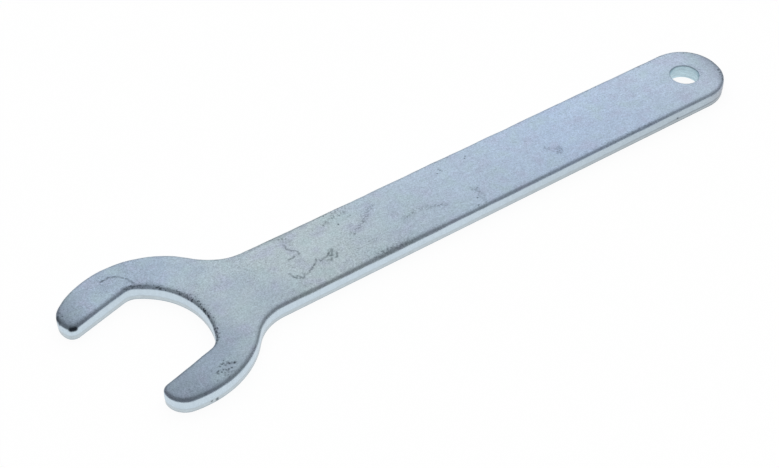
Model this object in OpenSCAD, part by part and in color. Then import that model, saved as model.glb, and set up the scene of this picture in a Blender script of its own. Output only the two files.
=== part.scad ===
// Flat single-ended open-jaw spanner, blanked in one stroke from steel plate.
// X runs along the handle from the head to the tail, Y across it, and Z up through the plate.
// The origin is the centre of the hang hole, on the underside. Sizes are in millimetres.

/* [Jaw] */
// Across-flats size of the nut that the jaw fits
nut_af = 24; // [19:0.5:30]
// Play between the jaw's two flats and the nut
jaw_play = 0.1; // [0.05:0.05:0.6]
// Angle between the jaw's axis and the handle's centreline
jaw_angle = 15; // [0:0.5:30]
// Gap between the nut's inner corner and the throat
throat_gap = 0.1; // [0:0.1:1.5]
// How much larger the throat's radius is than half the jaw
throat_relief = 3.9; // [2:0.1:6]
// Radius where each jaw flat turns into the throat
throat_corner_r = 3.3; // [0.5:0.1:6]

/* [Head] */
// Width of steel beside each jaw flat, at the head's widest
cheek_w = 8.7; // [7.5:0.1:14]
// Distance from the nut's centre back to the head's centre, along the jaw's axis
head_setback = 4.15; // [2.5:0.05:6]
// How far the head's centre sits to the upper side of the handle's centreline
head_shift = 0.4; // [-2:0.1:2]
// How far the jaw's tips reach past the ends of the nut's flats
tip_overrun = 0.1; // [0:0.1:2]
// Nose radius of the upper jaw's tip
upper_tip_r = 5; // [4:0.1:7]
// Nose radius of the lower jaw's tip
lower_tip_r = 4.4; // [4:0.1:7]
// Radius of the corner between each tip's nose and the jaw's flat
tip_corner_r = 2; // [1.2:0.1:3]

/* [Handle] */
// Distance along the handle from the hang hole's centre to the head's centre
hole_to_head = 139; // [80:0.5:250]
// Width of the handle
handle_w = 18; // [12:0.5:26]
// Fillet between the head and the handle's upper edge
upper_neck_r = 12; // [4:0.5:30]
// Fillet between the head and the handle's lower edge
lower_neck_r = 10; // [4:0.5:30]
// Diameter of the hang hole
hang_hole_d = 6.7; // [4:0.1:9]

/* [Plate] */
// Thickness of the plate
plate_t = 3.5; // [2:0.1:6]
// How far in from the outer edge the blanking die rolled the top face over
roll_w = 0.9; // [0.3:0.05:1.1]
// How far down the outer wall that rolled edge reaches
roll_h = 0.8; // [0.3:0.05:1.5]
// How far out from the hang hole the piercing punch rolled the top face over
rim_w = 0.6; // [0.1:0.05:1]
// How far down the hole that rolled rim reaches
rim_h = 0.2; // [0.1:0.05:1]

/* [Hidden] */

arc_step = 5;      // largest turn between two outline points on an arc, in degrees
roll_steps = 4;    // bands that round the rolled edge
cut_past = 1;      // how far a cut runs past the face that it opens
hole_fn = 96;      // smoothness of the hang hole

jaw_half = (nut_af + jaw_play) / 2;
nut_corner_r = nut_af / sqrt(3);    // from the nut's centre to its corners, and the length of one side
head_r = jaw_half + cheek_w;
throat_r = jaw_half + throat_relief;
mouth_reach = head_setback + nut_corner_r / 2 + tip_overrun;     // from the head's centre to the mouth
throat_depth = nut_corner_r + throat_gap - head_setback;         // from there to the throat's bottom

head_c = [-hole_to_head, head_shift];
jaw_in = [cos(jaw_angle), sin(jaw_angle)];     // from the mouth to the throat
jaw_up = [-sin(jaw_angle), cos(jaw_angle)];    // from the lower flat to the upper one
throat_c = head_c + jaw_in * (throat_depth - throat_r);

function polar(r, a) = [r * cos(a), r * sin(a)];
function angle_of(v) = atan2(v[1], v[0]);

// Steps that an arc from angle a0 to a1 is drawn in
function steps(a0, a1) = ceil(abs(a1 - a0) / arc_step);

// Points along an arc, from angle a0 up to a1, without the last one, which starts the next stretch
function arc(c, r, a0, a1) =
    let (n = steps(a0, a1))
    [for (i = [0:n - 1]) c + polar(r, a0 + (a1 - a0) * i / n)];

// Centre of the neck fillet that joins the head's circle to the handle's edge.
// In this and the functions below, side is 1 for the upper side and -1 for the lower one.
function neck_c(r, side) =
    let (
        y = side * (handle_w / 2 + r),
        across = y - head_c[1]
    )
    [head_c[0] + sqrt(pow(head_r + r, 2) - across * across), y];

// Direction from the head's centre to where a tip's nose of radius r leaves the head's circle
function nose_start(r, side) =
    jaw_angle + side * (180 - acos((mouth_reach - r) / (head_r - r)));

// Centre of that nose
function nose_c(r, side) = head_c + polar(head_r - r, nose_start(r, side));

// Direction from the nose's centre to where it runs on into the tip's corner
function nose_end(r, side) =
    let (over_flat = side * (nose_c(r, side) - head_c) * jaw_up - jaw_half)
    jaw_angle + side * (180 + asin((over_flat - tip_corner_r) / (r - tip_corner_r)));

// Outer line of one side, from the handle's edge round the head and the tip to the jaw's flat
function flank(neck_r, tip_r, side, inset) =
    let (
        fillet_c = neck_c(neck_r, side),
        head_a = angle_of(fillet_c - head_c),
        nose_a = nose_start(tip_r, side),
        corner_a = nose_end(tip_r, side),
        flat_a = jaw_angle + side * 270,
        corner_c = nose_c(tip_r, side) + polar(tip_r - tip_corner_r, corner_a)
    )
    concat(
        arc(fillet_c, neck_r + inset, side * -90, head_a - side * 180),
        arc(head_c, head_r - inset, head_a, nose_a),
        arc(nose_c(tip_r, side), tip_r - inset, nose_a, corner_a),
        arc(corner_c, tip_corner_r - inset, corner_a, flat_a),
        [corner_c + polar(tip_corner_r - inset, flat_a)]
    );

// Centre of the rounded corner between one jaw flat and the throat
function throat_corner_c(side) =
    let (
        across = jaw_half - throat_corner_r,
        along = sqrt(pow(throat_r - throat_corner_r, 2) - across * across)
    )
    throat_c + jaw_in * along + jaw_up * across * side;

// Jaw's inner line, from the end of the upper flat round the throat to the lower flat
function throat(inset) =
    let (
        upper_c = throat_corner_c(1),
        lower_c = throat_corner_c(-1),
        upper_a = angle_of(upper_c - throat_c),
        lower_a = angle_of(lower_c - throat_c)
    )
    concat(
        arc(upper_c, throat_corner_r + inset, jaw_angle + 90, upper_a),
        arc(throat_c, throat_r + inset, upper_a, lower_a),
        arc(lower_c, throat_corner_r + inset, lower_a, jaw_angle - 90),
        [lower_c + polar(throat_corner_r + inset, jaw_angle - 90)]
    );

function reversed(points) = [for (i = [len(points) - 1:-1:0]) points[i]];

// The plate's whole outline, counter-clockwise from the tail, moved inwards by inset
function outline(inset) =
    let (tail_r = handle_w / 2 - inset)
    concat(
        arc([0, 0], tail_r, -90, 90),
        [[0, tail_r]],
        flank(upper_neck_r, upper_tip_r, 1, inset),
        throat(inset),
        reversed(flank(lower_neck_r, lower_tip_r, -1, inset))
    );

// Where a quarter-ellipse roll of width w and height h puts the top face, k bands up from the wall,
// as [distance in from the wall, height]
function roll_point(w, h, k) =
    let (a = 90 * k / roll_steps)
    [w * (1 - cos(a)), plate_t - h * (1 - sin(a))];

// Waste around the plate's top edge, which leaves the edge rolled over
module edge_waste() {
    profile = concat(
        [[-cut_past, plate_t + cut_past], [-cut_past, plate_t - roll_h]],
        [for (k = [0:roll_steps]) roll_point(roll_w, roll_h, k)],
        [[roll_w, plate_t + cut_past]]
    );
    loops = [for (p = profile) [for (q = outline(p[0])) [q[0], q[1], p[1]]]];
    bands = len(loops);
    count = len(loops[0]);
    polyhedron(
        [for (loop = loops) each loop],
        [
            for (k = [0:bands - 1])
                for (i = [0:count - 1])
                    let (
                        here = k * count,
                        next = (k + 1) % bands * count,
                        j = (i + 1) % count
                    )
                    [here + i, here + j, next + j, next + i]
        ]
    );
}

// Hang hole, widening at the top face where its rim is rolled over
module hang_hole() {
    r = hang_hole_d / 2;
    translate([0, 0, -cut_past])
        cylinder(h = plate_t + 2 * cut_past, r = r, $fn = hole_fn);
    rotate_extrude($fn = hole_fn)
        polygon(concat(
            [[0, plate_t - rim_h]],
            [for (k = [0:roll_steps]) [r, 0] + roll_point(rim_w, rim_h, k)],
            [[r + rim_w, plate_t + cut_past], [0, plate_t + cut_past]]
        ));
}

module spanner() {
    color("lightsteelblue")
        difference() {
            linear_extrude(plate_t)
                polygon(outline(0));
            edge_waste();
            hang_hole();
        }
}

spanner();
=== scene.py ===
"""Flat open-jaw spanner, blanked from steel plate and zinc-plated.

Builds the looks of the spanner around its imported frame. The file is laid out as an add-on and is run as
a script. X runs along the handle from the head to the tail, Y across it and Z up through the plate.
The origin is the centre of the hang hole, on the underside. Blender's lengths are metres, and names
that end in _mm hold millimetres.
"""

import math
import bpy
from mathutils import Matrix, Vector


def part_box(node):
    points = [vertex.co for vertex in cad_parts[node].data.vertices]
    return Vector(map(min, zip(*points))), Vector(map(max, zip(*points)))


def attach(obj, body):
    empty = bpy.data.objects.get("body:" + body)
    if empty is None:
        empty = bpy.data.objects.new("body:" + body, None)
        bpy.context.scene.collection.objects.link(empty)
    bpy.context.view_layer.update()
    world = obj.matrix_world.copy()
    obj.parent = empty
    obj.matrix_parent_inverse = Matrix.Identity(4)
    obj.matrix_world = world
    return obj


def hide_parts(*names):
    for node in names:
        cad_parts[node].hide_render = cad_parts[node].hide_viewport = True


bl_info = {
    "name": "Flat open-jaw spanner",
    "version": (1, 0, 0),
    "blender": (4, 5, 0),
    "location": "3D View > Sidebar > Spanner",
    "description": "Builds a blanked, zinc-plated spanner around its packed frame",
    "category": "Object",
}

from functools import partial

import bmesh
import bpy
import numpy as np
from mathutils import Vector
from mathutils.geometry import delaunay_2d_cdt
from mathutils.kdtree import KDTree

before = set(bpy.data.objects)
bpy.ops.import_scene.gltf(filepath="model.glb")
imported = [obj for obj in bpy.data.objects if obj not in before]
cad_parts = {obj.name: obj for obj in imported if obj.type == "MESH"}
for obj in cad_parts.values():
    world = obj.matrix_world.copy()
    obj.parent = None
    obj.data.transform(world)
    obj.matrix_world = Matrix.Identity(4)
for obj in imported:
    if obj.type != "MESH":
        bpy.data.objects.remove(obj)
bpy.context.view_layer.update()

NODE = "spanner"
PLATE_LOW, PLATE_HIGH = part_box(NODE)
HALF_HANDLE = PLATE_HIGH.x      # the handle's half width, because the tail is round about the hang hole

MM = 0.001
WELD = 2e-6
STRAIGHT_MM = 5.0       # the plate's outline is straight between two corners further apart than this
CURVE_STEPS = 6         # steps of the exact curve for each mesh point along an edge
ROLL_INSETS_MM = (0, 0.02, 0.07, 0.15, 0.27, 0.42, 0.6, 0.8, 1.02)    # of the mesh's rings from an edge
WALL_ROWS = 14
HOLE_ZONE = 0.006       # the hang hole's own rim lies within this radius of the origin
HARD_EDGE = math.radians(50)    # faces that meet at more than this are shaded apart

# The faces' mesh points: how far each strays, how near one may come to the rims and how near to a mark,
# as shares of the face spacing, and the least gaps between the marks' own points and to the rims
STRAY, RIM_GAP, MARK_ROOM = 0.2, 0.45, 0.5
MARK_GAP_MM, MARK_RIM_GAP_MM = 0.1, 0.15
# The marks' lines: step and shake of a hairline's hand, length of a pit's line, too short to show as one,
# and the mesh points along a hairline, beside it, and in rings round a pit, by reach and count
HAIRLINE_STEP_MM, HAIRLINE_SHAKE_MM = 0.45, 0.07
PIT_LINE_MM = 0.06
MARK_STEP_MM = 0.25
BESIDE_MM = (0, 0.12, -0.12, 0.4, -0.4)
PIT_RINGS_MM = ((0.13, 6), (0.27, 8), (0.5, 9))

# The kinds of node that are used most. In a Mix node, input 0 is the share, 2 and 3 are the two numbers
# and 6 and 7 the two colours. A Map Range node takes a value, the range it's from and the one it goes to.
MATHS, VECTORS, RANGES = "ShaderNodeMath", "ShaderNodeVectorMath", "ShaderNodeMapRange"
MIX, NOISE, SPLIT = "ShaderNodeMix", "ShaderNodeTexNoise", "ShaderNodeSeparateXYZ"
COMBINE, MOVE = "ShaderNodeCombineXYZ", "GeometryNodeSetPosition"
STORE, NAMED = "GeometryNodeStoreNamedAttribute", "GeometryNodeInputNamedAttribute"
SPREAD = (0.3, 0.7)     # the range that a noise's values mostly keep to

# Handling marks on the top face, as lines: hairlines are fine scratches, and scuffs are granular rubs
HAIRLINES_MM = (
    ((-141.6, 17.7), (-139.8, 17.9), (-138.4, 17.3), (-137.3, 16.3), (-136.7, 15.2), (-136.3, 13.4)),
    ((-105.8, 5.3), (-106.0, 4.1), (-105.4, 3.1), (-104.6, 2.4), (-104.6, 1.2), (-105.6, 1.4),
     (-107.3, 1.1)),
    ((-109.4, -2.7), (-109.0, -4.3), (-108.4, -3.6), (-107.8, -5.1), (-106.7, -3.9)),
    ((-106.9, -4.7), (-105.4, -3.9), (-103.6, -2.9), (-102.6, -1.7), (-102.0, -2.8), (-100.6, -2.6),
     (-98.9, -1.6)),
    ((-101.0, -2.9), (-99.3, -1.3)),
    ((-100.0, -3.6), (-98.5, -1.5)),
    ((-99.1, -3.8), (-98.0, -2.8)),
)
# Clusters of pits, which are dents in the steel under the plating: x, y, spread and count
PIT_CLUSTERS_MM = (
    (-134.9, -16.8, 0.95, 13), (-132.2, -16.6, 0.85, 12), (-134.0, -18.2, 0.35, 5), (-133.2, -15.4, 0.5, 3),
    (-153.0, 13.4, 0.4, 3), (-65.0, 5.4, 1.1, 4), (-58.6, 5.6, 0.3, 2), (-92.0, 6.7, 1.9, 6),
    (-107.4, -4.7, 0.5, 3), (-99.4, -2.4, 0.6, 2), (-63.6, -4.4, 0.9, 3), (-64.6, -6.8, 0.8, 2),
)
# Places on the finish: x, y, z, radius and strength. The first are where the dark grain of wear and the
# painted shade along the rolled edge reach further in from the edge, and the strength is how much further,
# as a share.
RUB_AND_SHADE_MM = (
    (-87.0, -9.0, 3.0, 15.0, 1.3), (9.0, -2.0, 3.0, 8.0, 1.2), (-127.0, 3.0, 3.0, 9.0, 1.0),
    (-134.0, 13.0, 3.0, 6.0, 1.4), (-153.0, 11.0, 3.0, 5.0, 1.7), (-116.0, -13.0, 3.0, 9.0, 0.9),
    (-105.0, 9.0, 3.0, 9.0, 1.2), (-140.0, -20.0, 3.0, 8.0, 1.2),
)
# Where black grains are caught along the rolled edge
GRIMY_MM = (
    (-136.6, 12.8, 3.0, 3.5, 0.6), (-132.0, 8.0, 3.0, 5.0, 0.75), (-129.0, 0.0, 3.0, 6.0, 0.95),
    (-130.0, -7.5, 3.0, 4.0, 0.7), (-86.0, -9.0, 3.0, 7.0, 0.3), (-92.0, 8.0, 3.0, 6.0, 0.6),
    (-64.0, 6.5, 3.0, 4.0, 0.5), (-153.5, 14.0, 3.0, 2.0, 0.7), (7.0, -3.0, 3.0, 5.0, 0.6),
    (5.5, 5.0, 3.0, 5.0, 0.5), (-3.0, 8.5, 3.0, 6.0, 0.45), (-22.0, 9.0, 3.0, 12.0, 0.3),
    (-24.0, -9.0, 3.0, 12.0, 0.25), (-112.0, 10.0, 3.0, 10.0, 0.35),
)
# Spots of soil
SPOTS_MM = (
    (-152.5, 9.9, 2.8, 0.75, 1.0), (-152.1, 9.75, 2.8, 0.75, 1.0), (-151.7, 9.65, 2.8, 0.75, 1.0),
    (-153.6, 14.0, 2.9, 0.9, 0.75), (-153.6, 12.7, 2.9, 0.7, 0.5), (-137.6, -20.3, 0.5, 0.5, 0.6),
    (-138.8, -20.3, 0.7, 0.35, 0.5), (-10.0, -9.0, 1.2, 0.35, 0.7),
)
SCUFFS_MM = (
    ((-92.5, -0.1), (-91.0, 0.5), (-88.5, 1.8), (-86.8, 2.9), (-83.9, 5.3)),
    ((-92.0, -8.3), (-88.7, -8.1), (-84.3, -8.2)),
    ((-63.7, -3.0), (-62.7, -4.6), (-63.7, -7.6)),
    ((-105.7, 7.3), (-104.4, 6.5), (-104.6, 4.8)),
    ((-100.6, -3.4), (-98.6, -1.4)),
    ((-96.0, 5.8), (-92.0, 6.8), (-89.4, 6.8)),
    ((-42.5, -1.8), (-41.5, -3.0), (-39.9, -3.4), (-40.2, -4.7), (-41.8, -4.1)),
    ((-80.6, -2.4), (-77.5, -1.7), (-74.7, -2.3), (-71.2, -3.8)),
)


def linear(hex_colour):
    """The linear red, green and blue of an sRGB hex colour."""
    parts = [int(hex_colour[i:i + 2], 16) / 255 for i in (1, 3, 5)]
    return tuple(p / 12.92 if p <= 0.04045 else ((p + 0.055) / 1.055) ** 2.4 for p in parts)


def add(tree, kind, inputs=(), out=0, **settings):
    """Adds a node with its settings and its inputs, each a value or another node's output, and returns
    the output named or numbered out. The inputs are the node's first ones in their order, or a
    dictionary by name or number."""
    node = tree.nodes.new(kind)
    for name, value in settings.items():
        setattr(node, name, value)
    for key, value in inputs.items() if isinstance(inputs, dict) else enumerate(inputs):
        if isinstance(value, bpy.types.NodeSocket):
            tree.links.new(value, node.inputs[key])
        else:
            node.inputs[key].default_value = value
    return node.outputs[out] if node.outputs else None


# Plan of the plate -------------------------------------------------------------------------------


def unit(vectors):
    """The vectors, each made one long."""
    return vectors / np.linalg.norm(vectors, axis=-1, keepdims=True)


def underside_loops():
    """The closed loops round the plate's underside in millimetres, the outer edge's first, each running
    with the steel on its left."""
    bm = bmesh.new()
    bm.from_mesh(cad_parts[NODE].data)
    bmesh.ops.remove_doubles(bm, verts=bm.verts, dist=WELD)
    bm.normal_update()
    beside = {}
    for edge in bm.edges:
        if sum(face.normal.z < -0.9 for face in edge.link_faces) == 1:
            a, b = edge.verts
            beside.setdefault(a, []).append(b)
            beside.setdefault(b, []).append(a)
    loops = []
    while beside:
        start = min(beside, key=lambda v: v.index)
        loop, here = [start], beside[start][0]
        while here is not start:
            ahead = [v for v in beside[here] if v is not loop[-1]]
            loop.append(here)
            here = ahead[0]
        for vert in loop:
            del beside[vert]
        loops.append(np.array([[v.co.x, v.co.y] for v in loop]) / MM)
    bm.free()
    if len(loops) != 2:
        raise RuntimeError(f"the plate's underside has {len(loops)} outlines, and not an edge and a hole")
    edge, hole = sorted(loops, key=lambda p: -abs(signed_area(p)))
    return [p if signed_area(p) * way > 0 else p[::-1] for p, way in ((edge, 1), (hole, -1))]


def signed_area(points):
    """The area inside a loop, positive where it runs anticlockwise."""
    x, y = points.T
    return (x * np.roll(y, -1) - y * np.roll(x, -1)).sum() / 2


def smooth_loop(points, spacing):
    """Even points along the smooth curve through a loop's corners, and the way into the steel at each."""
    following = np.roll(points, -1, axis=0)
    length = np.linalg.norm(following - points, axis=1)
    ahead = (following - points) / length[:, None]
    behind = np.roll(ahead, 1, axis=0)
    straight = length > STRAIGHT_MM
    tangent = unit(ahead + behind)
    tangent[np.roll(straight, 1)] = behind[np.roll(straight, 1)]
    tangent[straight] = ahead[straight]
    curve, along = [], []
    for a, b, leave, arrive, run in zip(points, following, tangent, np.roll(tangent, -1, axis=0), length):
        u = np.linspace(0, 1, max(2, int(run / spacing * CURVE_STEPS)), endpoint=False)[:, None]
        m, n = leave * run, arrive * run
        curve.append((2 * u**3 - 3 * u**2 + 1) * a + (u**3 - 2 * u**2 + u) * m
                     + (3 * u**2 - 2 * u**3) * b + (u**3 - u**2) * n)
        along.append((6 * u**2 - 6 * u) * a + (3 * u**2 - 4 * u + 1) * m
                     + (6 * u - 6 * u**2) * b + (3 * u**2 - 2 * u) * n)
    curve = np.concatenate([*curve, points[:1]])
    along = unit(np.concatenate([*along, tangent[:1]]))
    run_at = np.concatenate([[0], np.cumsum(np.linalg.norm(np.diff(curve, axis=0), axis=1))])
    at = np.linspace(0, run_at[-1], round(run_at[-1] / spacing), endpoint=False)
    way = unit(np.stack([np.interp(at, run_at, along[:, k]) for k in (0, 1)], axis=1))
    places = np.stack([np.interp(at, run_at, curve[:, k]) for k in (0, 1)], axis=1)
    return places, np.stack([-way[:, 1], way[:, 0]], axis=1)


def inside(points, loop):
    """Which of the points lie inside a loop."""
    found = np.zeros(len(points), bool)
    x, y = points.T
    for (x0, y0), (x1, y1) in zip(loop, np.roll(loop, -1, axis=0)):
        if y0 != y1:
            found ^= ((y0 > y) != (y1 > y)) & (x < (x1 - x0) * (y - y0) / (y1 - y0) + x0)
    return found


def thinned(points, kept, gap):
    """The points that lie at least gap from the kept ones and from each other, in order."""
    grid = {}
    for p in kept:
        grid.setdefault((int(p[0] // gap), int(p[1] // gap)), []).append(p)
    chosen = []
    for p in points:
        i, j = int(p[0] // gap), int(p[1] // gap)
        near = [q for a in (-1, 0, 1) for b in (-1, 0, 1) for q in grid.get((i + a, j + b), ())]
        if all((p[0] - q[0]) ** 2 + (p[1] - q[1]) ** 2 >= gap * gap for q in near):
            grid.setdefault((i, j), []).append(p)
            chosen.append(p)
    return chosen


def shaky(line, step, shake, draw):
    """A line redrawn in short steps with an unsteady hand."""
    redrawn = [np.array(line[0])]
    for a, b in zip(np.array(line[:-1]), np.array(line[1:])):
        count = max(1, round(np.linalg.norm(b - a) / step))
        redrawn += [a + (b - a) * k / count + draw.normal(0, shake, 2) for k in range(1, count + 1)]
    return redrawn


def pit_lines(draw):
    """Each pit of the clusters, as a line hardly longer than a point."""
    lines = []
    for x, y, spread, count in PIT_CLUSTERS_MM:
        for _ in range(count):
            start = np.array((x, y)) + draw.normal(0, spread, 2)
            lines.append([start, start + draw.normal(0, PIT_LINE_MM, 2)])
    return lines


def points_beside(lines, step, offsets):
    """Points along lines and beside them, so that the sheet is fine enough to dent there."""
    found = []
    for line in lines:
        for a, b in zip(line[:-1], line[1:]):
            run = np.linalg.norm(b - a)
            across = np.array([a[1] - b[1], b[0] - a[0]]) / run
            for u in np.arange(0, 1, step / run):
                found += [a + (b - a) * u + across * side for side in offsets]
    return found


def points_round(centres):
    """Each centre with two rings of points round it, so that the sheet is fine enough to dent there."""
    found = list(centres)
    for centre in centres:
        for reach, count in PIT_RINGS_MM:
            turn = np.arange(count) * 2 * math.pi / count
            found += [centre + reach * np.array((math.cos(a), math.sin(a))) for a in turn]
    return found


def plan_sheet(edge_spacing, face_spacing, marks, draw):
    """The plate's plan as a flat mesh in millimetres: rings that follow its edges, and a scatter of
    points between them, denser at the marks. Returns the points, the faces and each point's way into
    the steel."""
    places, faces, inward, inner_loops = [], [], [], []
    start = 0
    for loop in underside_loops():
        edge, into = smooth_loop(loop, edge_spacing)
        count = len(edge)
        for k, inset in enumerate(ROLL_INSETS_MM):
            places.append(edge + into * inset)
            inward.append(into)
            if k:
                for i in range(count):
                    j = (i + 1) % count
                    outer, inner = start + (k - 1) * count, start + k * count
                    faces.append((outer + i, outer + j, inner + j, inner + i))
        start += count * len(ROLL_INSETS_MM)
        inner_loops.append(range(start - count, start))
    places, inward = np.concatenate(places), np.concatenate(inward)
    outer, hole = (places[list(loop)] for loop in inner_loops)

    row = face_spacing * math.sqrt(3) / 2
    low, high = outer.min(0), outer.max(0)
    scatter = []
    for j, y in enumerate(np.arange(low[1], high[1], row)):
        x = np.arange(low[0] + (j % 2) * face_spacing / 2, high[0], face_spacing)
        scatter.append(np.stack([x, np.full(len(x), y)], axis=1))
    scatter = np.concatenate(scatter)
    scatter += draw.uniform(-STRAY, STRAY, scatter.shape) * face_spacing
    marks = np.array(thinned(marks, [], MARK_GAP_MM))
    rims = np.concatenate([outer, hole])
    keep = thinned(marks[inside(marks, outer) & ~inside(marks, hole)], rims, MARK_RIM_GAP_MM)
    near_marks = KDTree(len(keep))
    for i, p in enumerate(keep):
        near_marks.insert((p[0], p[1], 0), i)
    near_marks.balance()
    scatter = [p for p in scatter[inside(scatter, outer) & ~inside(scatter, hole)]
               if near_marks.find((p[0], p[1], 0))[2] > MARK_ROOM * face_spacing]
    scatter = keep + thinned(scatter, rims, RIM_GAP * face_spacing)

    rim_ids = [i for loop in inner_loops for i in loop]
    lines, first = [], 0
    for loop in inner_loops:
        lines += [(first + i, first + (i + 1) % len(loop)) for i in range(len(loop))]
        first += len(loop)
    flat = [Vector(p) for p in rims] + [Vector(p) for p in scatter]
    made, _, triangles, came_from, _, _ = delaunay_2d_cdt(flat, lines, [], 1, 1e-5)
    ids = rim_ids + list(range(len(places), len(places) + len(scatter)))
    back = [ids[origin[0]] for origin in came_from]
    centres = np.array([np.mean([made[i] for i in tri], axis=0) for tri in triangles])
    for tri, in_hole in zip(triangles, inside(centres, hole)):
        if not in_hole:
            faces.append(tuple(back[i] for i in tri))
    places = np.concatenate([places, np.array(scatter)])
    inward = np.concatenate([inward, np.zeros((len(scatter), 2))])
    return places, faces, inward


def wire(name, lines_mm):
    """A mesh of edges alone along lines in millimetres, which the plate's tree measures from."""
    verts, edges = [], []
    for line in lines_mm:
        edges += [(len(verts) + i, len(verts) + i + 1) for i in range(len(line) - 1)]
        verts += [(x * MM, y * MM, 0) for x, y in line]
    mesh = bpy.data.meshes.new(name)
    mesh.from_pydata(verts, edges, [])
    obj = bpy.data.objects.new(name, mesh)
    bpy.context.scene.collection.objects.link(obj)
    return obj


# The blanked plate -------------------------------------------------------------------------------

# Sizes that the plate's tree takes in from the plate's settings, each under its name in title case
PLATE_SIZES = (
    "roll_width_tail", "roll_width_head", "roll_depth_tail", "roll_depth_head", "rim_width", "rim_depth",
    "crown", "waviness", "shear_height", "shear_wander", "fracture_setback", "fracture_grain",
    "hairline_width", "hairline_depth", "pit_width", "pit_depth", "scuff_width",
)
# Stretches along X where the roll's size changes from the tail's to the head's, and where the head's flat
# face turns into the handle's crowned one
ROLL_CHANGES = (-15 * MM, -112 * MM)
CROWN_STARTS = (-122 * MM, -100 * MM)
WANDER_SIZE = 7 * MM         # how far apart the roll swells and thins
WAVE_SIZE = 11 * MM          # of the faces' faint waves
SHEAR_LINE_SIZE = 3.5 * MM   # of the dips along the sheared band's end
TORN_GRAIN_SIZE = 0.9 * MM   # of the fractured band's grain
TURN_TO_TORN = (-0.2 * MM, 0.3 * MM)    # from above that end to below it, where the wall turns torn
FLAT_RIM = 2.5 * MM          # the underside is flat this far in from its edges, and faintly wavy beyond
UNDER_WAVES = 0.12           # share of the upper face's waves that it has there


def title(name):
    """A setting's name in title case, as the plate's tree has it."""
    return name.replace("_", " ").title()


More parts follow.
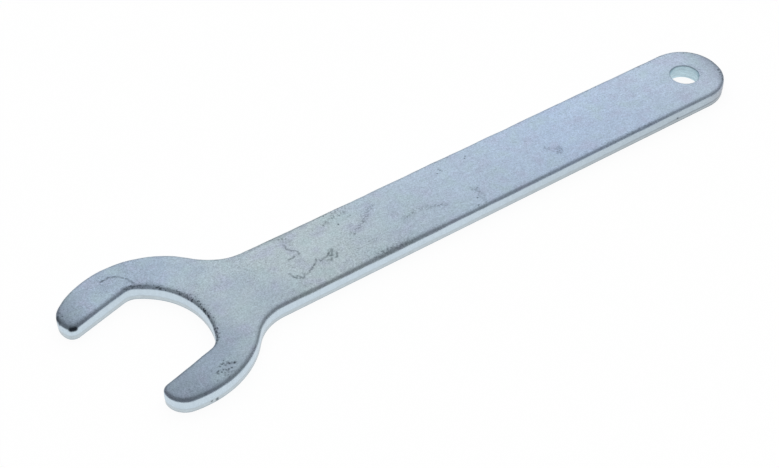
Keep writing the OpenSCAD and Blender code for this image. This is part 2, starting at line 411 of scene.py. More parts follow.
def blanked_plate_tree():
    """The tree that turns a flat sheet into a plate as a blanking die leaves it: its top edge rolled
    over, a smooth sheared band under that, and a rougher fractured band set back below."""
    tree = bpy.data.node_groups.new("blanked plate", "GeometryNodeTree")
    socket = tree.interface.new_socket
    socket("Sheet", in_out="INPUT", socket_type="NodeSocketGeometry")
    for name in ("Hairlines", "Pits", "Scuffs"):
        socket(name, in_out="INPUT", socket_type="NodeSocketObject")
    for name in ("plate_thickness", *PLATE_SIZES, "seed"):
        socket(title(name), in_out="INPUT", socket_type="NodeSocketFloat")
    socket("Finish", in_out="INPUT", socket_type="NodeSocketMaterial")
    socket("Plate", in_out="OUTPUT", socket_type="NodeSocketGeometry")
    given = tree.nodes.new("NodeGroupInput").outputs
    put = partial(add, tree)

    # distance of every point from the nearest edge of the sheet, and from the handling marks
    sides = put("GeometryNodeInputMeshEdgeNeighbors")
    is_edge = put("FunctionNodeCompare", {"A": sides, "B": 1}, data_type="INT", operation="EQUAL")
    rim = put("GeometryNodeSeparateGeometry", (given["Sheet"], is_edge), domain="EDGE")
    from_edge = put("GeometryNodeProximity", (rim,), "Distance", target_element="EDGES")
    sheet = put(STORE, {"Geometry": given["Sheet"], "Name": "edge", "Value": from_edge}, data_type="FLOAT")
    for mark in ("Hairline", "Pit", "Scuff"):
        lines = put("GeometryNodeObjectInfo", {"Object": given[mark + "s"]}, "Geometry")
        away = put("GeometryNodeProximity", (lines,), "Distance", target_element="EDGES")
        strength = put(RANGES, (away, 0.0, given[mark + " Width"], 1.0, 0.0))
        sheet = put(STORE, {"Geometry": sheet, "Name": mark.lower(), "Value": strength}, data_type="FLOAT")
    edge, hairline, pit = (put(NAMED, (name,), data_type="FLOAT")
                           for name in ("edge", "hairline", "pit"))
    inward = put(NAMED, ("inward",), data_type="FLOAT_VECTOR")

    place = put("GeometryNodeInputPosition")
    flat = put(VECTORS, (place, (1, 1, 0)), operation="MULTIPLY")
    x, y = (put(SPLIT, (place,), axis) for axis in "XY")

    # the rolled edge: a quarter ellipse, larger towards the head and of an uneven size
    wander = put(NOISE, {"Vector": flat, "W": given["Seed"], "Scale": 1 / WANDER_SIZE, "Detail": 2.0},
                 noise_dimensions="4D")
    wander = put(RANGES, (wander, 0.25, 0.75, 0.78, 1.22))
    roll = {}
    for size in ("Width", "Depth"):
        tail, head = given[f"Roll {size} Tail"], given[f"Roll {size} Head"]
        outer = put(RANGES, (x, *ROLL_CHANGES, tail, head), interpolation_type="SMOOTHSTEP")
        outer = put(MATHS, (outer, wander), operation="MULTIPLY")
        reach = put(VECTORS, (flat,), "Value", operation="LENGTH")
        at_hole = put(MATHS, (reach, HOLE_ZONE), operation="LESS_THAN")
        roll[size] = put(MIX, {0: at_hole, 2: outer, 3: given["Rim " + size]}, data_type="FLOAT")
    drop = put(MATHS, (edge, roll["Width"]), operation="DIVIDE")
    drop = put(MATHS, (1.0, drop), operation="SUBTRACT", use_clamp=True)
    drop = put(MATHS, (drop, drop), operation="MULTIPLY")
    drop = put(MATHS, (1.0, drop), operation="SUBTRACT")
    drop = put(MATHS, (drop,), operation="SQRT")
    drop = put(MATHS, (1.0, drop), operation="SUBTRACT")
    drop = put(MATHS, (drop, roll["Depth"]), operation="MULTIPLY")

    # the face between: crowned across the handle, faintly wavy, and dented by the marks
    crown = put(MATHS, (y, HALF_HANDLE), operation="DIVIDE")
    crown = put(MATHS, (crown, 2.0), operation="POWER")
    on_handle = put(RANGES, (x, *CROWN_STARTS, 0.0, 1.0), interpolation_type="SMOOTHSTEP")
    crown = put(MATHS, (crown, on_handle), operation="MULTIPLY")
    crown = put(MATHS, (crown, given["Crown"]), operation="MULTIPLY")
    waves = put(NOISE, {"Vector": flat, "W": given["Seed"], "Scale": 1 / WAVE_SIZE, "Detail": 2.0,
                        "Roughness": 0.55}, noise_dimensions="4D")
    waves = put(MATHS, (waves, 0.5), operation="SUBTRACT")
    waves = put(MATHS, (waves, given["Waviness"]), operation="MULTIPLY")
    groove = put(MATHS, (hairline, given["Hairline Depth"]), operation="MULTIPLY")
    dent = put(MATHS, (pit, given["Pit Depth"]), operation="MULTIPLY")
    height = given["Plate Thickness"]
    for down in (drop, crown, groove, dent):
        height = put(MATHS, (height, down), operation="SUBTRACT")
    height = put(MATHS, (height, waves), operation="ADD")
    top_place = put(COMBINE, (x, y, height))
    top = put(MOVE, {"Geometry": sheet, "Position": top_place})
    plate = put(STORE, {"Geometry": top, "Name": "lip", "Value": place}, data_type="FLOAT_VECTOR")
    lip = put(NAMED, ("lip",), data_type="FLOAT_VECTOR")
    lip_z = put(SPLIT, (lip,), "Z")

    def set_back(foot, level):
        """Where the wall is at a height over a place on the ground, with how far that is behind the
        sheared band, and how torn the wall is there."""
        foot_x, foot_y = (put(SPLIT, (foot,), axis) for axis in "XY")
        here = put(COMBINE, (foot_x, foot_y, level))
        ground = put(COMBINE, (foot_x, foot_y))
        line = put(NOISE, {"Vector": ground, "W": given["Seed"], "Scale": 1 / SHEAR_LINE_SIZE,
                           "Detail": 3.0}, noise_dimensions="4D")
        line = put(RANGES, (line, 0.2, 0.8, -1.0, 1.0))
        line = put(MATHS, (line, given["Shear Wander"]), operation="MULTIPLY")
        line = put(MATHS, (line, given["Shear Height"]), operation="ADD")
        below = put(MATHS, (line, level), operation="SUBTRACT")
        torn = put(RANGES, (below, *TURN_TO_TORN, 0.0, 1.0), interpolation_type="SMOOTHSTEP")
        coarse = put(NOISE, {"Vector": here, "W": given["Seed"], "Scale": 1 / TORN_GRAIN_SIZE,
                             "Detail": 3.0, "Roughness": 0.7}, noise_dimensions="4D")
        coarse = put(MATHS, (coarse, 0.5), operation="SUBTRACT")
        coarse = put(MATHS, (coarse, given["Fracture Grain"]), operation="MULTIPLY")
        back = put(MATHS, (given["Fracture Setback"], coarse), operation="ADD")
        back = put(MATHS, (back, torn), operation="MULTIPLY")
        back = put(MATHS, (back, 0.0), operation="MAXIMUM")
        step = put(VECTORS, {0: inward, "Scale": back}, operation="SCALE")
        return put(VECTORS, (here, step), operation="ADD"), step, torn

    # the walls, drawn down from the lip a row at a time
    newest = is_edge
    for k in range(1, WALL_ROWS + 1):
        plate = put("GeometryNodeExtrudeMesh",
                    {"Mesh": plate, "Selection": newest, "Offset Scale": 0.0}, mode="EDGES")
        newest = plate.node.outputs["Top"]
        level = put(MATHS, (lip_z, 1 - k / WALL_ROWS), operation="MULTIPLY")
        wall_place, _, torn = set_back(lip, level)
        plate = put(MOVE, {"Geometry": plate, "Selection": newest, "Position": wall_place})
        plate = put(STORE, {"Geometry": plate, "Selection": newest, "Name": "torn", "Value": torn},
                    data_type="FLOAT")

    # the underside, drawn in at its edge to meet the wall's foot
    _, step, _ = set_back(flat, 0.0)
    fade = put(RANGES, (edge, 0.0, ROLL_INSETS_MM[-1] * MM, 1.0, 0.0))
    step = put(VECTORS, {0: step, "Scale": fade}, operation="SCALE")
    hollow = put(RANGES, (edge, 0.0, FLAT_RIM, 0.0, 1.0), interpolation_type="SMOOTHSTEP")
    lift = put(RANGES, (waves, -0.5 * MM, 0.5 * MM, 0.0, 1.0 * MM))
    lift = put(MATHS, (lift, hollow), operation="MULTIPLY")
    lift = put(MATHS, (lift, UNDER_WAVES), operation="MULTIPLY")
    lifted = put(COMBINE, {"Z": lift})
    under = put(MOVE, {"Geometry": sheet, "Offset": step})
    under = put(MOVE, {"Geometry": under, "Offset": lifted})
    under = put("GeometryNodeFlipFaces", (under,))

    joined = tree.nodes.new("GeometryNodeJoinGeometry")
    for part in (under, plate):
        tree.links.new(part, joined.inputs[0])
    whole = put("GeometryNodeMergeByDistance", {"Geometry": joined.outputs[0], "Distance": WELD})
    in_mm = put(MATHS, (edge, 1 / MM), operation="MULTIPLY")
    whole = put(STORE, {"Geometry": whole, "Name": "edge_mm", "Value": in_mm}, data_type="FLOAT")
    for name in ("edge", "lip", "inward"):
        whole = put("GeometryNodeRemoveAttribute", {"Geometry": whole, "Name": name})
    whole = put("GeometryNodeRealizeInstances", (whole,))
    whole = put("GeometryNodeSetMaterial", {"Geometry": whole, "Material": given["Finish"]})
    tree.links.new(whole, tree.nodes.new("NodeGroupOutput").inputs[0])
    return tree


# Finish ------------------------------------------------------------------------------------------

# Sizes of the finish's patterns. The zinc's crystals are really some 0.02 mm across, and their grain is
# drawn as coarse as it needs to show.
CRYSTAL_MM, GRAIN_MM, CLUMP_MM, EDGE_GRAIN_MM, SPECKLE_MM = 0.02, 0.3, 1.1, 0.45, 0.5
DRIFT_MM, PATCH_MM, CRAZED_MM = 14, 4.0, 8.0
STREAK_SCALE = (1 / 9, 1 / 0.8, 1 / 0.8)            # rolling streaks, each 9 mm long and 0.8 wide
STREAK_TURN = math.radians(-6)
DIE_STREAK_SCALE = (1 / 0.6, 1 / 0.6, 1 / 2.5)      # the die's streaks up the walls, 0.6 mm wide
SCORE_SCALE = (1 / 3, 1 / 3, 1 / 0.35)              # the punch's scores round the hang hole, 0.35 mm wide
SHEEN_SPREAD = 0.06     # how far the roughness strays up and down
BORE_ZONE_MM = 4.0      # the hang hole's wall lies within this radius of the origin
TOP_MM = (1.7, 1.8)     # heights between which the top face's marks set in


def zinc_passivate(look):
    """Bright zinc electroplate with a clear blue passivate, over blanked cold-rolled steel. The eye sees a
    pale, satin, slightly frosted metal, bluer or greener from place to place as the passivate film varies,
    darker and granular along the rolled edge from wear and from painted shade. Painted shade also darkens
    the jaw's lower side and tips, the tail's end, one side of the handle, the walls' foot and the top of
    the bore."""
    material = bpy.data.materials.new("blue_passivated_zinc_plate")
    material.use_nodes = True
    tree = material.node_tree
    tree.nodes.clear()
    put = partial(add, tree)

    seat = put("ShaderNodeTexCoord", out="Object")
    place = put(VECTORS, {0: seat, "Scale": 1 / MM}, operation="SCALE")
    x, y, z = (put(SPLIT, (place,), axis) for axis in "XYZ")
    edge, hairline, pit, scuff, torn = (
        put("ShaderNodeAttribute", out="Fac", attribute_name=name)
        for name in ("edge_mm", "hairline", "pit", "scuff", "torn"))
    normal = put("ShaderNodeNewGeometry", out="Normal")
    normal_z = put(SPLIT, (normal,), "Z")
    upright = put(MATHS, (normal_z,), operation="ABSOLUTE")
    wall = put(RANGES, (upright, 0.2, 0.5, 1.0, 0.0))
    face = put(MATHS, (1.0, wall), operation="SUBTRACT")

    # the passivate film's tint along the handle, from the jaw's blue grey to the tail's blue
    drift = put(NOISE, {"Vector": place, "Scale": 1 / DRIFT_MM, "Detail": 3.0, "Roughness": 0.6})
    drift = put(RANGES, (drift, *SPREAD, -8.0, 8.0))
    along = put(MATHS, (x, drift), operation="ADD")
    film = look.film()
    colour = (*film[0][1], 1)
    for (start, _), (end, after) in zip(film, film[1:]):
        share = put(RANGES, (along, start, end, 0.0, 1.0))
        colour = put(MIX, {0: share, 6: colour, 7: (*after, 1)}, 2, data_type="RGBA")
    # patches of lilac and teal, a few millimetres across
    patch = put(NOISE, {"Vector": place, "Scale": 1 / PATCH_MM, "Detail": 1.0, "Roughness": 0.6})
    for bounds, film_tint in (((0.52, 0.72, 0.0, 0.42), look.lilac_tint),
                              ((0.48, 0.28, 0.0, 0.34), look.teal_tint)):
        share = put(RANGES, (patch, *bounds))
        colour = put(MIX, {0: share, 6: colour, 7: (*film_tint, 1)}, 2, data_type="RGBA")

    # frosty grain of the zinc's crystals, in clumps
    grain = put(NOISE, {"Vector": place, "Scale": 1 / GRAIN_MM, "Detail": 2.0, "Roughness": 0.7})
    clump = put(NOISE, {"Vector": place, "Scale": 1 / CLUMP_MM, "Detail": 3.0, "Roughness": 0.7})
    # rolling streaks of the steel strip under the plating, nearly along the handle
    turned = put("ShaderNodeMapping",
                 {"Vector": place, "Rotation": (0, 0, STREAK_TURN), "Scale": STREAK_SCALE})
    streak = put(NOISE, {"Vector": turned, "Scale": 1.0, "Detail": 3.0, "Distortion": 1.2})
    light = put(RANGES, (grain, *SPREAD, 0.8, 1.2))
    # with the clumps and the streaks, painted shade across the handle: darker towards its −Y side
    for value, *bounds in ((clump, *SPREAD, 0.93, 1.07), (streak, 0.25, 0.75, 0.95, 1.05),
                           (y, -8.0, 8.0, 0.875, 0.965)):
        lit = put(RANGES, (value, *bounds))
        light = put(MATHS, (light, lit), operation="MULTIPLY")
    # painted shade: darker over the jaw's lower side and towards its tips, and round the tail's end
    for value, start, end, most, where, low, high in (
            (x, -124.0, -131.0, 0.11, y, 10.0, 2.0), (x, -135.0, -154.0, 0.39, y, -6.0, -16.0),
            (x, -146.0, -154.0, 0.42, y, 0.0, 9.0), (x, 3.0, 8.5, 0.26, y, -12.0, -11.0)):
        painted_shade = put(RANGES, (value, start, end, 0.0, most))
        here = put(RANGES, (where, low, high, 0.0, 1.0))
        painted_shade = put(MATHS, (painted_shade, here), operation="MULTIPLY")
        painted_shade = put(MATHS, (1.0, painted_shade), operation="SUBTRACT")
        light = put(MATHS, (light, painted_shade), operation="MULTIPLY")
    colour = put(VECTORS, {0: colour, "Scale": light}, operation="SCALE")

    # the walls: a bright sheared band, streaked upright by the die, over a greyer fractured one
    upright_place = put(VECTORS, (place, DIE_STREAK_SCALE), operation="MULTIPLY")
    die_streak = put(NOISE, {"Vector": upright_place, "Scale": 1.0, "Detail": 3.0, "Roughness": 0.6})
    sheared = put(RANGES, (die_streak, *SPREAD, 0.96, 1.04))
    sheared = put(VECTORS, {0: look.shear_tint, "Scale": sheared}, operation="SCALE")
    fractured = put(RANGES, (clump, *SPREAD, 0.9, 1.08))
    fractured = put(VECTORS, {0: look.fracture_tint, "Scale": fractured}, operation="SCALE")
    wall_colour = put(MIX, {0: torn, 6: sheared, 7: fractured}, 2, data_type="RGBA")
    tail_end = put(RANGES, (x, -2.0, 6.0, 0.0, 0.8))
    fresh = put(RANGES, (torn, 0.5, 1.0, 1.0, 0.45))
    tail_end = put(MATHS, (tail_end, fresh), operation="MULTIPLY")
    # a darker line where the fracture starts, plainest round the tail, and painted shade along the foot
    line = put("ShaderNodeFloatCurve", {"Value": torn})
    curve = line.node.mapping
    curve.curves[0].points[1].location = (1.0, 0.0)
    curve.curves[0].points.new(0.5, 1.0)
    curve.update()
    plain = put(RANGES, (x, -40.0, 4.0, 0.12, 0.6))
    line = put(MATHS, (line, plain), operation="MULTIPLY")
    foot = put(RANGES, (z, 0.04, 0.3, 0.3, 0.0))
    for share, over in ((tail_end, look.tail_wall_tint), (line, look.rub_and_shade_tint), (foot, look.rub_and_shade_tint)):
        wall_colour = put(MIX, {0: share, 6: wall_colour, 7: (*over, 1)}, 2, data_type="RGBA")
    # duller towards the tail
    fading = put(RANGES, (x, -75.0, -10.0, 0.98, 0.79))
    wall_colour = put(VECTORS, {0: wall_colour, "Scale": fading}, operation="SCALE")
    # the hang hole's wall, scored round by the punch
    flat_place = put(VECTORS, (place, (1, 1, 0)), operation="MULTIPLY")
    from_hole = put(VECTORS, (flat_place,), "Value", operation="LENGTH")
    bore = put(MATHS, (from_hole, BORE_ZONE_MM), operation="LESS_THAN")
    level_place = put(VECTORS, (place, SCORE_SCALE), operation="MULTIPLY")
    score = put(NOISE, {"Vector": level_place, "Scale": 1.0, "Detail": 3.0, "Roughness": 0.7})
    score = put(RANGES, (score, *SPREAD, 0.8, 1.15))
    scored = put(VECTORS, {0: look.bore_tint, "Scale": score}, operation="SCALE")
    # painted shade: a dark line round the top of the bore, where its wall turns into the rim
    ring = put(RANGES, (z, 2.95, 3.25, 0.0, 0.5))
    scored = put(MIX, {0: ring, 6: scored, 7: (*look.rub_and_shade_tint, 1)}, 2, data_type="RGBA")
    wall_colour = put(MIX, {0: bore, 6: wall_colour, 7: scored}, 2, data_type="RGBA")
    colour = put(MIX, {0: wall, 6: colour, 7: wall_colour}, 2, data_type="RGBA")

    def gathered(total, places, start, operation):
        """A total to which each place brings its strength, fading from a share of its radius outwards."""
        for *centre, radius, strength in places:
            away = put(VECTORS, (place, centre), "Value", operation="DISTANCE")
            more = put(RANGES, (away, radius * start, radius, strength, 0.0))
            total = put(MATHS, (total, more), operation=operation)
        return total

    # dark, dirty grain of wear along the rolled edges, together with painted shade of the roll there, wider
    # at a few places
    rough_edge = put(NOISE, {"Vector": place, "Scale": 1 / EDGE_GRAIN_MM, "Detail": 4.0, "Roughness": 0.75})
    reach = put(RANGES, (rough_edge, *SPREAD, 0.5, 1.45))
    rub_and_shade_widening = gathered(0.0, RUB_AND_SHADE_MM, 0.0, "ADD")
    widened = put(MATHS, (1.0, rub_and_shade_widening), operation="ADD")
    reach = put(MATHS, (reach, widened), operation="MULTIPLY")
    near = put(MATHS, (edge, reach), operation="DIVIDE")
    near = put(RANGES, (near, 0.2, 1.0, 1.0, 0.0))
    rub_and_shade_profile = put(RANGES, (edge, 0.05, 0.45, 0.2, 0.4))
    near = put(MATHS, (near, face), operation="MULTIPLY")
    round_hole = put(RANGES, (from_hole, 5.5, 7.0, 0.05, 1.0))
    for share in (rub_and_shade_profile, round_hole):
        near = put(MATHS, (near, share), operation="MULTIPLY")
    colour = put(MIX, {0: near, 6: colour, 7: (*look.rub_and_shade_tint, 1)}, 2, data_type="RGBA")

    # crazed patches: fine dark threads and specks in the plating, most of them on the neck
    zone = put(NOISE, {"Vector": place, "Scale": 1 / CRAZED_MM, "Detail": 2.0})
    zone = put(RANGES, (zone, 0.38, 0.62, 0.0, 1.0))
    on_neck = put(RANGES, (x, -68.0, -92.0, 0.3, 1.0))
    zone = put(MATHS, (zone, on_neck), operation="MULTIPLY")
    thread = put(NOISE, {"Vector": place, "Scale": 1 / CLUMP_MM, "Detail": 3.0, "Roughness": 0.6,
                         "Distortion": 0.3})
    thread = put(MATHS, (thread, 0.5), operation="SUBTRACT")
    thread = put(MATHS, (thread,), operation="ABSOLUTE")
    thread = put(RANGES, (thread, 0.0, 0.03, 0.26, 0.0))
    fleck = put(RANGES, (rough_edge, 0.58, 0.7, 0.0, 0.45))
    crazed = put(MATHS, (thread, fleck), operation="MAXIMUM")
    for share in (zone, face):
        crazed = put(MATHS, (crazed, share), operation="MULTIPLY")
    # black grains caught along the rolled edge
    caught = gathered(0.0, GRIMY_MM, 0.5, "MAXIMUM")
    speckle = put(NOISE, {"Vector": place, "Scale": 1 / SPECKLE_MM, "Detail": 1.0})
    band = put(RANGES, (edge, 0.4, 1.3, 0.0, 0.12))
    speckle = put(MATHS, (speckle, band), operation="SUBTRACT")
    black = put(RANGES, (speckle, 0.51, 0.59, 0.0, 0.85))
    band = put(RANGES, (edge, 1.1, 1.7, 1.0, 0.0))
    for share in (caught, band, face):
        black = put(MATHS, (black, share), operation="MULTIPLY")

    # the handling marks, each broken up by a pattern
    dark = black
    for mark, pattern, bounds in ((scuff, rough_edge, (0.46, 0.6, 0.0, 0.65)),
                                  (hairline, clump, (0.35, 0.6, 0.25, 0.6)),
                                  (pit, clump, (0.4, 0.6, 0.35, 0.95))):
        broken = put(RANGES, (pattern, *bounds))
        mark = put(MATHS, (mark, broken), operation="MULTIPLY")
        dark = put(MATHS, (dark, mark), operation="MAXIMUM")
    # all of them only on the top face: the sheet's attributes reach down the walls and underneath too
    on_top = put(RANGES, (z, *TOP_MM, 0.0, 1.0))
    on_top = put(MATHS, (on_top, face), operation="MULTIPLY")
    dark = put(MATHS, (dark, on_top), operation="MULTIPLY")
    dark = put(MATHS, (dark, crazed), operation="MAXIMUM")
    dark = gathered(dark, SPOTS_MM, 0.4, "MAXIMUM")
    colour = put(MIX, {0: dark, 6: colour, 7: (*look.soil_tint, 1)}, 2, data_type="RGBA")

    smooth, rough = look.roughness - SHEEN_SPREAD, look.roughness + SHEEN_SPREAD
    roughness = put(RANGES, (clump, *SPREAD, smooth, rough))
    soiled = put(MATHS, (dark, 0.4), operation="MULTIPLY")
    roughness = put(MATHS, (roughness, soiled), operation="ADD", use_clamp=True)
    height = put(MATHS, (grain, clump), operation="ADD")
    bump = put("ShaderNodeBump", {"Strength": 0.35, "Distance": CRYSTAL_MM * MM, "Height": height})
    shader = put("ShaderNodeBsdfPrincipled",
                 {"Base Color": colour, "Metallic": 1.0, "Roughness": roughness, "Normal": bump})
    put("ShaderNodeOutputMaterial", {"Surface": shader})
    return material


# Add-on ------------------------------------------------------------------------------------------

# The floor is a matt card that glows almost as brightly as white, just under the plate
FLOOR_GAP = 0.05 * MM
FLOOR_SHADE, FLOOR_GLOW = (0.15, 0.15, 0.15, 1), 0.93
# The softbox's height over the horizon, the cosines of the angles from its middle between which it comes
# up, and the sines of the heights below which the room darkens to a share of its light
BOX_RISE = math.radians(40)
BOX_SPREAD = (math.cos(math.radians(62)), math.cos(math.radians(20)))
HORIZON, HORIZON_SHARE = (math.sin(math.radians(2)), math.sin(math.radians(22))), 0.45


def number(name, description, default, low=0.0, **kind):
    """A number property that goes no lower than low."""
    return bpy.props.FloatProperty(name=name, description=description, default=default, min=low, **kind)


def length(name, description, default_mm):
    """A length property of up to 10 mm, with its default in millimetres."""
    return number(name, description, default_mm * MM, max=10 * MM, precision=5, unit="LENGTH",
                  subtype="DISTANCE")


def tint(name, description, default):
    """A colour property with its default as an sRGB hex colour."""
    return bpy.props.FloatVectorProperty(name=name, description=description, default=linear(default),
                                         min=0.0, max=1.0, size=3, subtype="COLOR")


class SPANNER_PG_blank(bpy.types.PropertyGroup):
    """Sizes of the blanked plate that the frame leaves open."""

    edge_spacing: length("Edge Spacing", "Distance between mesh points along the plate's edges", 0.4)
    face_spacing: length("Face Spacing", "Distance between mesh points on the plate's faces", 0.8)
    roll_width_tail: length("Roll Width at Tail", "How far in the tail's edge is rolled over", 0.95)
    roll_width_head: length("Roll Width at Head", "How far in the head's edge is rolled over", 1.05)
    roll_depth_tail: length("Roll Depth at Tail", "How far down the tail's edge is rolled over", 0.75)
    roll_depth_head: length("Roll Depth at Head", "How far down the head's edge is rolled over", 0.9)
    rim_width: length("Rim Width", "Width of the hang hole's rolled rim", 0.6)
    rim_depth: length("Rim Depth", "Depth of the hang hole's rolled rim", 0.2)
    crown: length("Crown", "How far the handle's face falls away towards its edges", 0.1)
    waviness: length("Waviness", "Height of the faces' faint waves", 0.06)
    shear_height: length("Shear Height", "Height above the underside where the sheared band ends", 1.05)
    shear_wander: length("Shear Wander", "How far the end of the sheared band strays up and down", 0.15)
    fracture_setback: length("Fracture Setback", "How far the fractured band lies behind the sheared", 0.08)
    fracture_grain: length("Fracture Grain", "Height of the fractured band's grain", 0.06)
    hairline_width: length("Hairline Width", "Distance from a fine scratch's line to its side", 0.11)
    hairline_depth: length("Hairline Depth", "Depth of the fine scratches", 0.006)
    pit_width: length("Pit Width", "Distance from a pit's middle to its side", 0.26)
    pit_depth: length("Pit Depth", "Depth of the pits", 0.03)
    scuff_width: length("Scuff Width", "Distance from a scuff's line to its side", 0.8)
    seed: bpy.props.IntProperty(name="Seed", description="Seed of everything uneven", default=7, min=0)


class SPANNER_PG_finish(bpy.types.PropertyGroup):
    """Colours of the zinc plating."""

    jaw_tint: tint("Jaw Tint", "Passivate over the jaw, blue grey", "#B8CADD")
    neck_tint: tint("Neck Tint", "Passivate over the neck, greenish grey", "#CBDAE1")
    middle_tint: tint("Middle Tint", "Passivate over the middle of the handle", "#C4D5E5")
    handle_tint: tint("Handle Tint", "Passivate near the tail, the bluest", "#C6DAF4")
    tail_tint: tint("Tail Tint", "Passivate round the hang hole", "#CDDDEF")
    lilac_tint: tint("Lilac Tint", "Patches where the passivate film is thinner", "#C4CAE4")
    teal_tint: tint("Teal Tint", "Patches where the passivate film is thicker", "#BFD8DC")
    shear_tint: tint("Shear Tint", "Sheared band of the walls", "#CBDAE5")
    fracture_tint: tint("Fracture Tint", "Fractured band of the walls", "#C4CFD5")
    bore_tint: tint("Bore Tint", "Wall of the hang hole", "#BFD6E0")
    tail_wall_tint: tint("Tail Wall Tint", "Walls round the tail's end", "#B0B2BD")
    # dark tint of the wear along the rolled edges, which also paints shade there, at the walls' foot, round
    # the top of the bore and along the line where the fracture starts
    rub_and_shade_tint: tint("Rub and Shade Tint", "Rubbed grain along the rolled edges", "#66717E")
    soil_tint: tint("Soil Tint", "Soil held in scratches and pits", "#3B434C")
    roughness: number("Roughness", "Roughness of the plating", 0.42, max=1.0, subtype="FACTOR")

    def film(self):
        """The passivate film's tints with their places along X in millimetres."""
        return ((-133.0, self.jaw_tint), (-112.0, self.neck_tint), (-96.0, self.neck_tint),
                (-80.0, self.middle_tint), (-33.0, self.handle_tint), (6.0, self.tail_tint))


class SPANNER_PG_stage(bpy.types.PropertyGroup):
    """The floor, the light and the camera."""

    floor_size: number("Floor Size", "Side of the floor", 8.0, 0.5, unit="LENGTH", subtype="DISTANCE")
    floor_tint: tint("Floor Tint", "Colour of the floor", "#FDFDFD")
    sky_low: number("Room Light", "Brightness of the room round the softbox", 0.41)
    sky_high: number("Softbox Light", "Brightness of the softbox", 0.9)
    azimuth: number("Azimuth", "Side that the camera looks from", math.radians(-35.48), -math.pi,
                    subtype="ANGLE", unit="ROTATION")
    elevation: number("Elevation", "Camera's height above the horizon", math.radians(43.05), -math.pi / 2,
                      subtype="ANGLE", unit="ROTATION")
    distance: number("Distance", "Camera's distance from its target", 0.36797, 0.05, precision=5,
                     unit="LENGTH", subtype="DISTANCE")
    target: bpy.props.FloatVectorProperty(name="Target", description="Point that the camera looks at",
                                          default=(-0.083998, -0.001399, 0.0), size=3, precision=5,
                                          unit="LENGTH", subtype="TRANSLATION")
    lens: number("Lens", "Focal length on a 36 mm sensor", 81.13, 10.0)


class SPANNER_OT_blank(bpy.types.Operator):
    """Builds the blanked and plated spanner over its CAD node"""

    bl_idname = "spanner.blank"
    bl_label = "Build Spanner"

    def execute(self, context):
        sizes, look = context.scene.spanner_blank, context.scene.spanner_finish
        draw = np.random.default_rng(sizes.seed)
        hairlines = [shaky(line, HAIRLINE_STEP_MM, HAIRLINE_SHAKE_MM, draw) for line in HAIRLINES_MM]
        pits = pit_lines(draw)
        marks = points_beside(hairlines, MARK_STEP_MM, BESIDE_MM) + points_round([line[0] for line in pits])
        places, faces, inward = plan_sheet(sizes.edge_spacing / MM, sizes.face_spacing / MM, marks, draw)
        mesh = bpy.data.meshes.new("spanner_sheet")
        mesh.from_pydata([(a * MM, b * MM, 0) for a, b in places], [], faces)
        way = mesh.attributes.new("inward", "FLOAT_VECTOR", "POINT")
        way.data.foreach_set("vector", np.c_[inward, np.zeros(len(inward))].astype(np.float32).ravel())
        sheet = bpy.data.objects.new("spanner_sheet", mesh)
        context.scene.collection.objects.link(sheet)
        wires = [wire("hairlines", hairlines), wire("pits", pits), wire("scuffs", SCUFFS_MM)]

        tree = blanked_plate_tree()
        modifier = sheet.modifiers.new("blanked plate", "NODES")
        modifier.node_group = tree
        values = {title(name): getattr(sizes, name) for name in PLATE_SIZES}
        values |= {
            "Hairlines": wires[0], "Pits": wires[1], "Scuffs": wires[2], "Seed": float(sizes.seed),
            "Plate Thickness": PLATE_HIGH.z - PLATE_LOW.z, "Finish": zinc_passivate(look),
        }
        sockets = {item.name: item.identifier for item in tree.interface.items_tree}
        for name, value in values.items():
            modifier[sockets[name]] = value
        view = context.evaluated_depsgraph_get()
        solid = bpy.data.meshes.new_from_object(sheet.evaluated_get(view), depsgraph=view)
        for spare in (sheet, *wires):
            bpy.data.objects.remove(spare)
        solid.name = "spanner_blank"
        solid.shade_smooth()
        bm = bmesh.new()
        bm.from_mesh(solid)
        open_edges = sum(not e.is_manifold for e in bm.edges)
        volume = bm.calc_volume(signed=True)
        for e in bm.edges:
            if len(e.link_faces) == 2 and e.calc_face_angle() > HARD_EDGE:
                e.smooth = False
        bm.to_mesh(solid)
        bm.free()
        if open_edges or volume <= 0:
            raise RuntimeError(f"the blank has {open_edges} open edges and holds {volume / MM**3:.0f} mm3")
        piece = bpy.data.objects.new("spanner_blank", solid)
        context.scene.collection.objects.link(piece)
        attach(piece, "root")
        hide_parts(NODE)
        return {"FINISHED"}


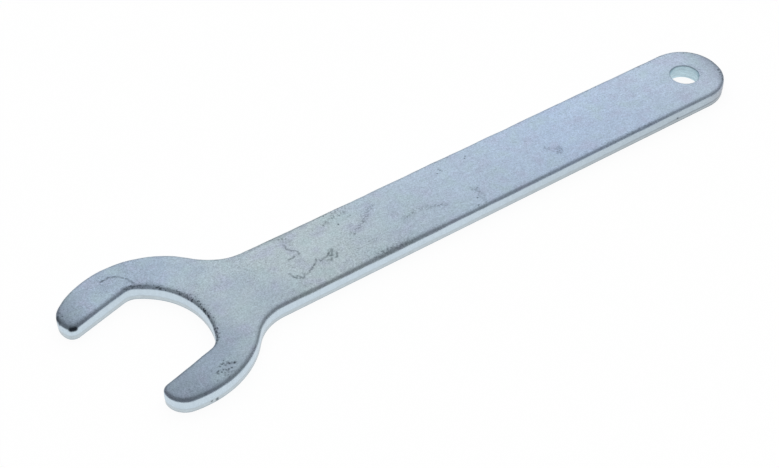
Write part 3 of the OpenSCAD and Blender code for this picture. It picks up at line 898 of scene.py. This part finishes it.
class SPANNER_OT_stage(bpy.types.Operator):
    """Sets out the floor, the light and the camera"""

    bl_idname = "spanner.stage"
    bl_label = "Set Stage"

    def execute(self, context):
        stage = context.scene.spanner_stage
        half = stage.floor_size / 2
        mesh = bpy.data.meshes.new("studio_floor")
        corners = [(-half, -half, 0), (half, -half, 0), (half, half, 0), (-half, half, 0)]
        mesh.from_pydata(corners, [], [(0, 1, 2, 3)])
        floor = bpy.data.objects.new("studio_floor", mesh)
        floor.location.z = -FLOOR_GAP
        context.scene.collection.objects.link(floor)
        material = bpy.data.materials.new("white_card")
        material.use_nodes = True
        tree = material.node_tree
        tree.nodes.clear()
        put = partial(add, tree)
        shader = put("ShaderNodeBsdfPrincipled",
                     {"Base Color": FLOOR_SHADE, "Roughness": 1.0, "Specular IOR Level": 0.0,
                "Emission Color": (*stage.floor_tint, 1), "Emission Strength": FLOOR_GLOW})
        put("ShaderNodeOutputMaterial", {"Surface": shader})
        mesh.materials.append(material)

        a, e = stage.azimuth, stage.elevation
        back = Vector((math.sin(a) * math.cos(e), -math.cos(a) * math.cos(e), math.sin(e)))
        camera = bpy.data.objects.new("camera", bpy.data.cameras.new("camera"))
        camera.data.lens = stage.lens
        camera.data.clip_start, camera.data.clip_end = 0.01, 50.0
        camera.location = Vector(stage.target) + back * stage.distance
        camera.rotation_mode = "QUATERNION"
        camera.rotation_quaternion = (-back).to_track_quat("-Z", "Y")
        context.scene.collection.objects.link(camera)
        context.scene.camera = camera

        # A softbox behind and above the spanner, in a dimmer room
        world = bpy.data.worlds.new("studio_light")
        world.use_nodes = True
        tree = world.node_tree
        tree.nodes.clear()
        put = partial(add, tree)
        way = put("ShaderNodeTexCoord", out="Generated")
        box = (-math.sin(a) * math.cos(BOX_RISE), math.cos(a) * math.cos(BOX_RISE), math.sin(BOX_RISE))
        facing = put(VECTORS, (way, box), "Value", operation="DOT_PRODUCT")
        lit = put(RANGES, (facing, *BOX_SPREAD, stage.sky_low, stage.sky_high),
                  interpolation_type="SMOOTHSTEP")
        up = put(SPLIT, (way,), "Z")
        low = put(RANGES, (up, *HORIZON, HORIZON_SHARE, 1.0), interpolation_type="SMOOTHSTEP")
        lit = put(MATHS, (lit, low), operation="MULTIPLY")
        light = put("ShaderNodeBackground", {"Color": (1, 1, 1, 1), "Strength": lit})
        put("ShaderNodeOutputWorld", {"Surface": light})
        context.scene.world = world
        context.scene.view_settings.view_transform = "Standard"
        return {"FINISHED"}


class SPANNER_PT_panel(bpy.types.Panel):
    """Lists the spanner's steps and their sizes"""

    bl_idname = "SPANNER_PT_panel"
    bl_label = "Flat Spanner"
    bl_space_type = "VIEW_3D"
    bl_region_type = "UI"
    bl_category = "Spanner"

    def draw(self, context):
        for operator, groups in ((SPANNER_OT_blank, ("spanner_blank", "spanner_finish")),
                                 (SPANNER_OT_stage, ("spanner_stage",))):
            box = self.layout.box()
            box.operator(operator.bl_idname)
            for group in groups:
                sizes = getattr(context.scene, group)
                for name in sizes.__annotations__:
                    box.prop(sizes, name)


CLASSES = (SPANNER_PG_blank, SPANNER_PG_finish, SPANNER_PG_stage, SPANNER_OT_blank, SPANNER_OT_stage,
           SPANNER_PT_panel)


def register():
    """Adds the classes, and the settings to the scene."""
    for cls in CLASSES:
        bpy.utils.register_class(cls)
    bpy.types.Scene.spanner_blank = bpy.props.PointerProperty(type=SPANNER_PG_blank)
    bpy.types.Scene.spanner_finish = bpy.props.PointerProperty(type=SPANNER_PG_finish)
    bpy.types.Scene.spanner_stage = bpy.props.PointerProperty(type=SPANNER_PG_stage)


def unregister():
    """Takes the settings and the classes away again."""
    for name in ("spanner_blank", "spanner_finish", "spanner_stage"):
        delattr(bpy.types.Scene, name)
    for cls in reversed(CLASSES):
        bpy.utils.unregister_class(cls)


def main():
    register()
    bpy.ops.spanner.blank()
    bpy.ops.spanner.stage()


if __name__ == "__main__":
    main()
